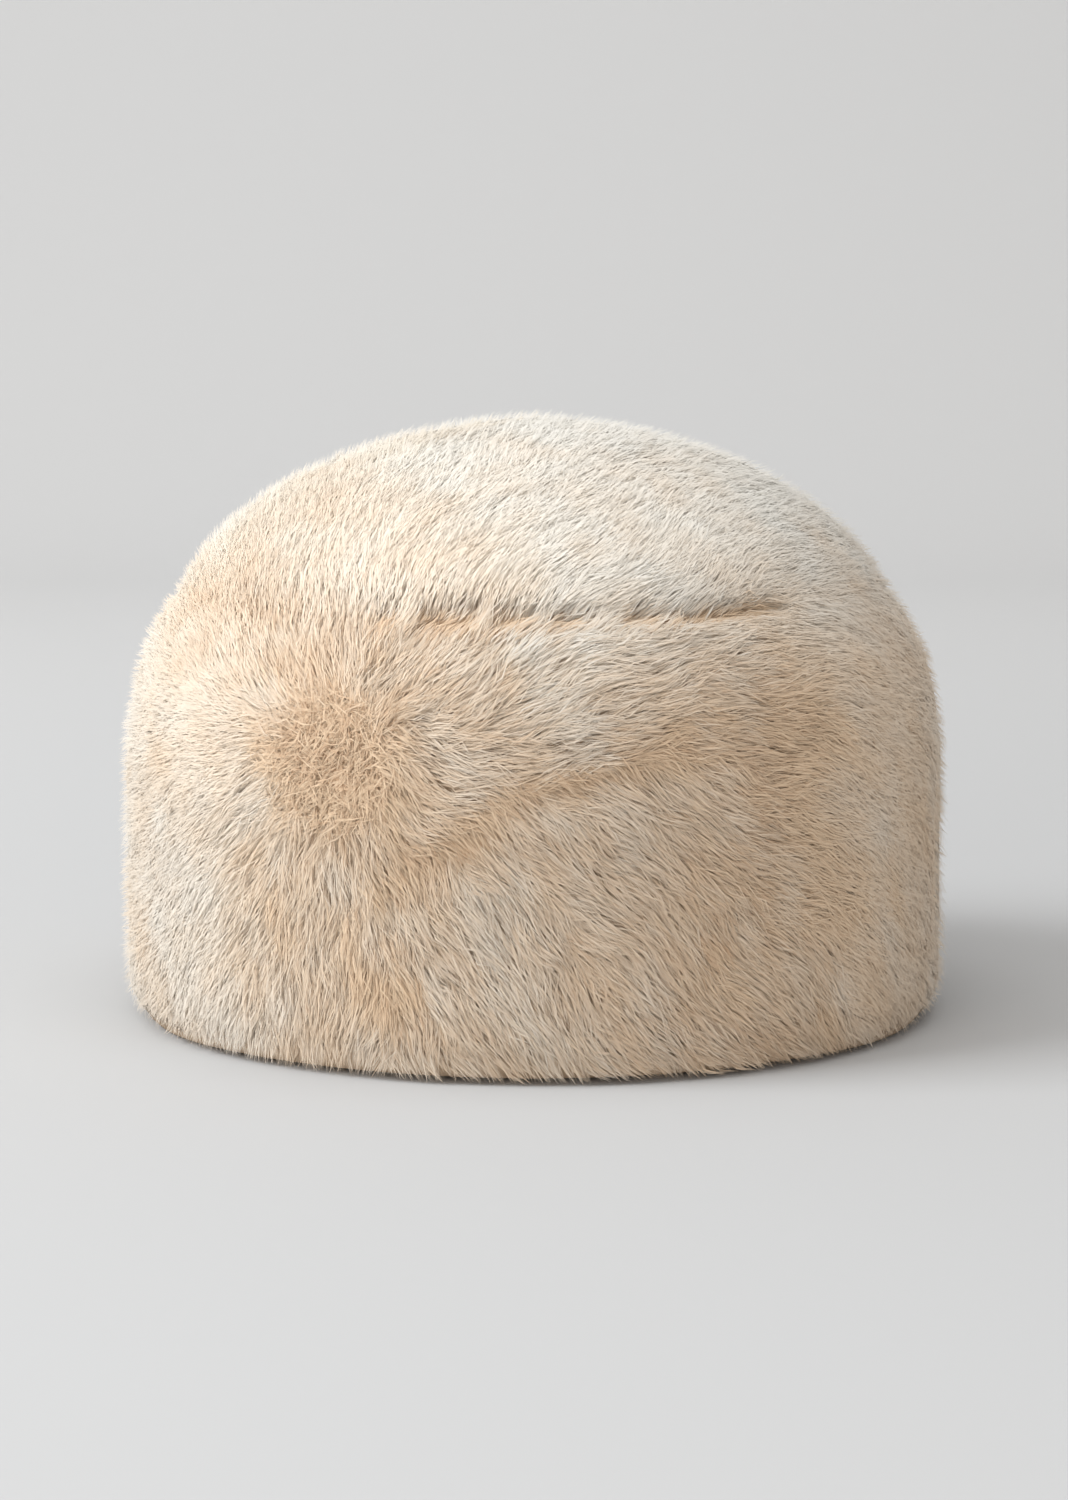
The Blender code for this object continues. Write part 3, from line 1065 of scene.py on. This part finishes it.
@dataclass
class Colouring:
    """Where the fur is cream or tan, and where its strands are light or dark, with painted light and shade in
    some patches and in the hollows.
    """

    form: HatForm
    combing: Combing
    parting_half_width: float
    plain_tone: float = 0.40
    plain_light: float = 0.58
    whorl_tone: float = -0.24
    whorl_reach: Hill = Hill(0.0, 34 * MM)
    # Where the fur parts, in the seam's groove, the dents and the parting: partly tan roots that show, partly
    # painted shade of these hollows
    parted_tone: float = -0.65
    parted_light: float = -0.20
    parting_weight: float = 0.45
    broad_tone: float = 0.10
    broad: Ripple = Ripple(11, 55 * MM)
    fine_tone: float = 0.09
    fine: Ripple = Ripple(12, 18 * MM)

    def colours(self, points: np.ndarray, angle: np.ndarray, reach: np.ndarray) -> Pair:
        """The fur's colours at each place.

        Args:
            points: rows of X, Y and Z on the outer form.
            angle: their angles round the hat.
            reach: their distance from the whorl.

        Returns:
            Tones from 0, warm tan, to 1, cream. Lightness from 0, as dark as a root, to 1, as light as a tip.
        """
        form, height, turned = self.form, points[:, 2], degrees_round(angle)
        along = np.interp(height, form.line[:, 1], form.at)
        # Painted shade in the groove, dents and parting, together with the roots' tan that shows there
        parted = form.hollowed(along, angle) / form.groove_depth
        light = self.plain_light + self.parted_light * parted
        side, near = self.combing.parting(height, angle)
        parted += self.parting_weight * near * bump(side, 0.0, self.parting_half_width)
        tone = self.plain_tone + self.parted_tone * parted + self.whorl_tone * self.whorl_reach.at(reach)
        tone += self.broad_tone * self.broad.at(points) + self.fine_tone * self.fine.at(points)
        for patch in PATCHES.values():
            strength = patch.at(turned, height / form.seam_height)
            tone += patch.tone * strength
            light += patch.light * strength
        return tone, light


@dataclass
class Fur:
    """The hairs of one pelt, from its wisps' places to its pieces."""

    form: HatForm
    combing: Combing
    pelt: Pelt
    seed: int
    wisps: int
    pieces: int
    hairs_in_wisp: int = 3
    first_wisp: float = 0.5
    first_tuft: float = 0.31
    tuft_size: float = 6.5 * MM
    tuft_jitter: float = 0.3
    whorl_inner: float = 8 * MM
    whorl_outer: float = 46 * MM
    tangle_reach: float = 21 * MM
    core_reach: float = 13 * MM
    bridging_found: float = 1.1
    bridging_dropped: float = 0.55
    cut: Cut = Cut()
    spreads: Spreads = Spreads()
    chance: np.random.Generator = field(init=False)

    def __post_init__(self) -> None:
        """Starts the seeded draws."""
        self.chance = np.random.default_rng(self.seed)

    def span(self) -> tuple[float, float]:
        """The stretch of the outline that the pelt covers."""
        if self.pelt is Pelt.BAND:
            return 0.0, self.form.seam
        return self.form.seam, self.form.top

    def sow(self, count: int, start: float) -> Pair:
        """Spreads places evenly over the pelt and a hair's length past it.

        Args:
            count: how many places.
            start: where the even spread starts, from 0 to 1.

        Returns:
            Distances along the outline, and angles.
        """
        low, high = self.span()
        low, high = max(0.0, low - self.cut.length), min(high + self.cut.length, self.form.top)
        stops = np.linspace(low, high, 400)
        reach, _ = self.form.section(stops)
        covered = np.concatenate([[0.0], np.cumsum((reach[1:] + reach[:-1]) / 2)])
        up, about = ((start + np.arange(count) * step) % 1.0 for step in EVEN_STEPS)
        return np.interp(up * covered[-1], covered, stops), about * 2 * math.pi

    def tufts(self, points: np.ndarray) -> Tufts:
        """Groups points round tuft centres.

        Args:
            points: rows of X, Y and Z.

        Returns:
            The tufts, with a tuft's number for each point.
        """
        low, high = self.span()
        reach, _ = self.form.section(np.linspace(low, high, 50))
        area = 2 * math.pi * float(reach.mean()) * (high - low)
        along, angle = self.sow(int(area / self.tuft_size**2), self.first_tuft)
        jitter = self.chance.normal(scale=self.tuft_size * self.tuft_jitter, size=(len(along), 3))
        centres = self.form.place(along, angle) + jitter
        tree = KDTree(len(centres))
        for number, centre in enumerate(centres):
            tree.insert(centre, number)
        tree.balance()
        return Tufts(self.chance, np.array([tree.find(point)[1] for point in points]), centres)

    def places(self) -> Places:
        """The places that grow a wisp: with their root on this pelt, and few across the seam's open gaps."""
        form, cut = self.form, self.cut
        along, angle = self.sow(self.wisps, self.first_wisp)
        base, outward = form.place(along, angle), form.outward(along, angle)
        lie, reach = self.combing.lie(base, outward, angle)
        unruly = form.unruly(base, angle)
        lying = cut.lying * between(cut.lying_share, unruly)
        stand = cut.standing + (lying - cut.standing) * soft_step(reach, self.whorl_inner, self.whorl_outer)
        rooted, _ = form.locate(base - lie * (cut.length * np.cos(stand))[:, None], along)
        groove = form.seam + form.groove_rise
        bridging = (rooted < groove) & (along > groove) | (rooted > groove) & (along < groove)
        bridging &= self.chance.random(len(along)) < self.bridging_found * form.gap_strength(angle)
        dropped = bridging & (self.chance.random(len(along)) < self.bridging_dropped)
        low, high = self.span()
        mine = (rooted >= low) & (rooted <= high) & ~dropped
        return Places(along, angle, base, outward, lie, reach, unruly, stand, bridging).part(mine)

    def gather(self, places: Places) -> Wisps:
        """Gathers the places into tufts and grows one wisp on each."""
        cut, spreads, chance, tufts = self.cut, self.spreads, self.chance, self.tufts(places.base)
        unruly, outward, count = places.unruly, places.outward, len(places.along)
        colouring = Colouring(self.form, self.combing, cut.parting_half_width)
        tangle = np.exp(-((places.reach / self.tangle_reach) ** 4))
        core = bump(places.reach, 0.0, self.core_reach)
        turn = unruly * tufts.normal(spreads.tuft_turn, spreads.wisp_turn)
        turn += tangle * chance.normal(scale=spreads.tangle_turn, size=count)
        lie = places.lie * np.cos(turn)[:, None] + np.cross(outward, places.lie) * np.sin(turn)[:, None]
        to_centre = tufts.centres[tufts.number] - places.base
        to_centre -= outward * dot(to_centre, outward) + lie * dot(to_centre, lie)
        stand = places.stand + unruly * tufts.normal(spreads.tuft_stand, spreads.wisp_stand)
        stray = (1 - unruly) * (chance.random(count) < spreads.stray_share)
        sink = unruly * tufts.even(spreads.sink) - cut.core_lift * core
        long = 1.0 - cut.tangle_shorter * tangle - cut.bridging_shorter * places.bridging
        long += tufts.normal(spreads.tuft_length, spreads.wisp_length)
        tone, light = colouring.colours(places.base, places.angle, places.reach)
        tone += unruly * tufts.normal(spreads.tuft_tone, spreads.wisp_tone)
        light += cut.tangle_light * tangle + cut.core_light * core
        varied = between(spreads.light_share, unruly) + spreads.tangle_light * tangle
        light += varied * chance.normal(scale=spreads.wisp_light, size=count)
        light += unruly * chance.normal(scale=spreads.tuft_light, size=len(tufts.centres))[tufts.number]
        return Wisps(
            along=places.along, angle=places.angle, base=places.base, outward=outward, lie=lie, unruly=unruly,
            stand=stand + stray * cut.stray_stand, stray=stray, to_centre=to_centre, sink=sink, long=long,
            tone=tone, light=light, sway=chance.normal(scale=spreads.sway, size=count),
            roll=chance.normal(scale=spreads.wisp_roll, size=(count, 3)),
        )

    def split(self, wisps: Wisps) -> Hairs:
        """Draws the hairs, given a row for each hair that is the same for all hairs of a wisp."""
        cut, spreads, chance = self.cut, self.spreads, self.chance
        lie, base, unruly, count = wisps.lie, wisps.base, wisps.unruly, len(wisps.along)
        across = np.cross(wisps.outward, lie)
        apart = chance.normal(scale=cut.wisp_radius, size=(count, 2))
        offset = lie * apart[:, :1] * cut.wisp_stretch + across * apart[:, 1:]
        stand = wisps.stand + chance.normal(scale=spreads.hair_stand, size=count)
        stand = np.clip(stand, cut.least_stand, cut.most_stand)
        half = cut.length / 2 * (wisps.long + chance.normal(scale=spreads.hair_length, size=count))
        low_rise = np.minimum(stand + cut.root_rise * between(cut.root_rise_share, unruly), cut.most_rise)
        high_rise = np.maximum(stand - cut.tip_fall, cut.least_rise)
        low_step, high_step = half * np.cos(low_rise), half * np.cos(high_rise)
        tip_depth = self.tip_depth(wisps)
        bend_depth = tip_depth + half * np.sin(high_rise)
        root_depth = bend_depth + half * np.sin(low_rise)
        swayed = lie + across * wisps.sway[:, None]
        pull = cut.pull * wisps.to_centre * between(cut.pull_share, unruly)[:, None]
        root_at = base + offset * cut.apart_at_root - lie * (low_step + high_step)[:, None]
        bend_at = base + offset * cut.apart_at_bend - swayed * high_step[:, None]
        tip_at = base + offset * cut.apart_at_tip + pull
        root = self.settle(root_at, root_depth, wisps.along)
        bend = self.settle(bend_at, bend_depth, wisps.along)
        tip = self.settle(tip_at, tip_depth, wisps.along)
        side, facing = self.blades(wisps, root, bend, tip)
        tone = wisps.tone + unruly * chance.normal(scale=spreads.hair_tone, size=count)
        light = wisps.light + unruly * chance.normal(scale=spreads.hair_light, size=count)
        return Hairs(root, bend, tip, side, facing, tone, light, between(cut.fading, unruly), wisps.angle)

    def tip_depth(self, wisps: Wisps) -> np.ndarray:
        """How far under the fur's surface each hair ends. Loose hairs and strays end over it."""
        spreads, chance, count = self.spreads, self.chance, len(wisps.along)
        ragged = chance.exponential(spreads.tip_depth, count) - spreads.tip_rise
        depth = wisps.sink + between(spreads.tip_share, wisps.unruly) * ragged
        loose = chance.uniform(*spreads.loose_rise, count) * (chance.random(count) < spreads.loose_share)
        return depth - wisps.unruly * loose - wisps.stray * chance.uniform(*spreads.stray_rise, count)

    def settle(self, points: np.ndarray, depth: np.ndarray, along: np.ndarray) -> np.ndarray:
        """Puts points down into the pile, lower in its groove, dents and parting, and above hide and floor.

        Args:
            points: rows of X, Y and Z near the outer form.
            depth: how far under the fur's surface each lies.
            along: a first guess of their distance along the outline.

        Returns:
            Their places.
        """
        form, cut = self.form, self.cut
        along, angle = form.locate(points, along)
        side, near = self.combing.parting(form.section(along)[1], angle)
        depth = depth + form.sunk(along, angle)
        depth += cut.parting_depth * near * bump(side, 0.0, cut.parting_half_width)
        settled = form.place(along, angle, np.minimum(depth, form.pile_depth - cut.above_hide))
        floor = cut.above_floor + cut.ragged_floor * self.chance.random(len(depth))
        settled[:, 2] = np.maximum(settled[:, 2], floor)
        return settled

    def blades(self, wisps: Wisps, root: np.ndarray, bend: np.ndarray, tip: np.ndarray) -> Pair:
        """Turns the flat hairs about their length.

        Args:
            wisps: the hairs' wisps.
            root: the hairs' roots.
            bend: their bends.
            tip: their tips.

        Returns:
            Their half widths at the bend, as vectors, and the way that their shading faces.
        """
        cut, spreads, chance, outward = self.cut, self.spreads, self.chance, wisps.outward
        unruly = wisps.unruly[:, None]
        roll = wisps.roll + chance.normal(scale=spreads.hair_roll, size=root.shape)
        side = unit(np.cross(tip - root, unit(outward + between(cut.twist, unruly) * roll)))
        side *= np.sign(dot(np.cross(side, tip - root), outward)) + 1e-9
        side = unit(side)
        wide = cut.blade * between(cut.widening, unruly)
        wide *= 1 + chance.normal(scale=spreads.width, size=unruly.shape)
        wide *= 1 - cut.stray_thinner * wisps.stray[:, None]
        flat = unit(np.cross(side, tip - bend))
        rounding = between(cut.rounding, unruly)
        return side * wide, unit(outward * rounding + flat * (1 - rounding))

    def build(self) -> list[bpy.types.Object]:
        """Grows the hairs, spread evenly by their tips, and shares them out over pieces, by angle."""
        wisps = self.gather(self.places())
        hairs = self.split(wisps.part(np.repeat(np.arange(len(wisps.along)), self.hairs_in_wisp)))
        sector = np.floor(hairs.angle / (2 * math.pi) * self.pieces).astype(int) % self.pieces
        stem = self.pelt.value.replace("pile", "hair")
        return [hairs.part(sector == k).to_piece(f"{stem}_{k + 1}") for k in range(self.pieces)]


class Lamp(NamedTuple):
    """A soft box: where it hangs, the length of its side, its power in watts and its colour."""

    name: str
    place: tuple[float, float, float]
    size: float
    power: float
    colour: Rgb


LAMPS = (
    Lamp(name="key", place=(-1.46, -0.48, 1.34), size=1.1, power=33.5, colour=(0.975, 0.99, 1.0)),
    Lamp(name="top", place=(0.0, -0.3, 2.2), size=1.8, power=15.5, colour=(1.0, 0.99, 0.975)),
    Lamp(name="front", place=(-0.4, -1.9, 0.5), size=1.4, power=13.0, colour=(1.0, 0.95, 0.88)),
)


@dataclass
class Studio:
    """The plain pale floor and wall, soft light and the camera at the photo's angle."""

    aim: tuple[float, float, float] = (0.0, 0.0, 0.08)
    surround: Rgb = (1.0, 0.975, 0.945)
    surround_strength: float = 0.51
    lens: float = 95.2
    sensor: float = 36.0
    camera_back: float = 1.069
    camera_height: float = 0.203
    camera_pitch: float = math.radians(7.14)
    floor_half: float = 3.0
    wall_back: float = 2.2
    wall_height: float = 3.0
    wall_bend: float = 0.8
    bend_steps: int = 16
    slack: float = 10 * MM

    def camera(self) -> None:
        """Sets up the camera in front of the hat, a little above it."""
        data = bpy.data.cameras.new("camera")
        data.lens, data.sensor_width, data.sensor_fit = self.lens, self.sensor, "AUTO"
        camera = bpy.data.objects.new("camera", data)
        camera.location = (0.0, -self.camera_back, self.camera_height)
        camera.rotation_euler = (math.pi / 2 - self.camera_pitch, 0.0, 0.0)
        bpy.context.scene.collection.objects.link(camera)
        bpy.context.scene.camera = camera

    def paper(self) -> None:
        """One sheet that is floor and wall, with a wide bend between."""
        half, back, bend = self.floor_half, self.wall_back, self.wall_bend
        deselect()
        bpy.ops.mesh.primitive_plane_add(size=2.0, location=(0, 0, 0))
        sheet = bpy.context.object
        sheet.name = sheet.data.name = "paper"
        bpy.ops.object.mode_set(mode="EDIT")
        bpy.ops.mesh.select_all(action="SELECT")
        bpy.ops.transform.resize(value=(half, half, 1.0))
        bpy.ops.transform.translate(value=(0, back - bend - half, 0))
        bpy.ops.mesh.select_all(action="DESELECT")
        bpy.ops.object.mode_set(mode="OBJECT")
        for edge in sheet.data.edges:
            ends = [sheet.data.vertices[v].co for v in edge.vertices]
            edge.select = all(end.y > back - bend - self.slack for end in ends)
        bpy.ops.object.mode_set(mode="EDIT")
        bpy.ops.mesh.select_mode(type="EDGE")
        for step in range(self.bend_steps):
            a, b = (math.pi / 2 * (step + k) / self.bend_steps for k in (0, 1))
            move = (0, bend * (math.sin(b) - math.sin(a)), bend * (math.cos(a) - math.cos(b)))
            bpy.ops.mesh.extrude_edges_move(TRANSFORM_OT_translate={"value": move})
        bpy.ops.mesh.extrude_edges_move(TRANSFORM_OT_translate={"value": (0, 0, self.wall_height)})
        bpy.ops.mesh.select_all(action="SELECT")
        bpy.ops.mesh.normals_make_consistent(inside=False)
        bpy.ops.object.mode_set(mode="OBJECT")
        bpy.ops.object.shade_smooth()
        dress(sheet, StageFinish().material())

    def hang(self, lamp: Lamp) -> None:
        """Adds one soft box, facing the hat."""
        data = bpy.data.lights.new(lamp.name, "AREA")
        data.shape, data.size, data.energy, data.color = "SQUARE", lamp.size, lamp.power, lamp.colour
        box = bpy.data.objects.new(lamp.name, data)
        box.location = lamp.place
        box.rotation_euler = (Vector(self.aim) - Vector(lamp.place)).to_track_quat("-Z", "Y").to_euler()
        bpy.context.scene.collection.objects.link(box)

    def lights(self) -> None:
        """The key light high on the left, broad lights on top and in front, and an even warm surround."""
        for lamp in LAMPS:
            self.hang(lamp)
        world = bpy.data.worlds.new("surround")
        world.use_nodes = True
        background = world.node_tree.nodes["Background"]
        background.inputs["Color"].default_value = (*self.surround, 1.0)
        background.inputs["Strength"].default_value = self.surround_strength
        bpy.context.scene.world = world

    def build(self) -> None:
        """Builds everything round the hat."""
        self.camera()
        self.paper()
        self.lights()
        bpy.context.scene.view_settings.view_transform = "Standard"


@dataclass
class FurHat:
    """The hat: the frame's two hides, with underfur and hair on each."""

    form: HatForm
    band_wisps: int = 112000
    crown_wisps: int = 66000

    def hides(self) -> None:
        """Dresses the frame's own hides."""
        suede = HideFinish().material()
        for node in ("band_hide", "crown_hide"):
            dress(frame["nodes"][node], suede)
            LOG.info("%s dressed", node)

    def underfur(self) -> None:
        """Builds the wool under the hairs."""
        wool = UnderfurFinish().material()
        shells = Underfur(self.form)
        for pelt, piece in ((Pelt.BAND, shells.band()), (Pelt.CROWN, shells.crown())):
            self.fit(piece, pelt, wool)

    def fur(self) -> None:
        """Grows the hair on both pelts."""
        combing = Combing(self.form)
        coat = FurFinish().material()
        band = Fur(self.form, combing, Pelt.BAND, seed=21, wisps=self.band_wisps, pieces=6)
        crown = Fur(self.form, combing, Pelt.CROWN, seed=22, wisps=self.crown_wisps, pieces=3)
        for fur in (band, crown):
            for piece in fur.build():
                self.fit(piece, fur.pelt, coat)

    def fit(self, piece: bpy.types.Object, pelt: Pelt, material: bpy.types.Material) -> None:
        """Dresses a piece of a pelt and puts it in its CAD node's place."""
        dress(piece, material)
        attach(piece, BODY)
        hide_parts(pelt.value)
        triangles = sum(len(face.vertices) - 2 for face in piece.data.polygons)
        LOG.info("%s: %d triangles", piece.name, triangles)


def main() -> None:
    """Builds the hat and its studio."""
    hat = FurHat(HatForm.from_frame())
    hat.hides()
    hat.underfur()
    hat.fur()
    Studio().build()
    LOG.info("sizes kept")


if __name__ == "__main__":
    logging.basicConfig(level=logging.INFO, format="%(name)s: %(message)s")
    main()
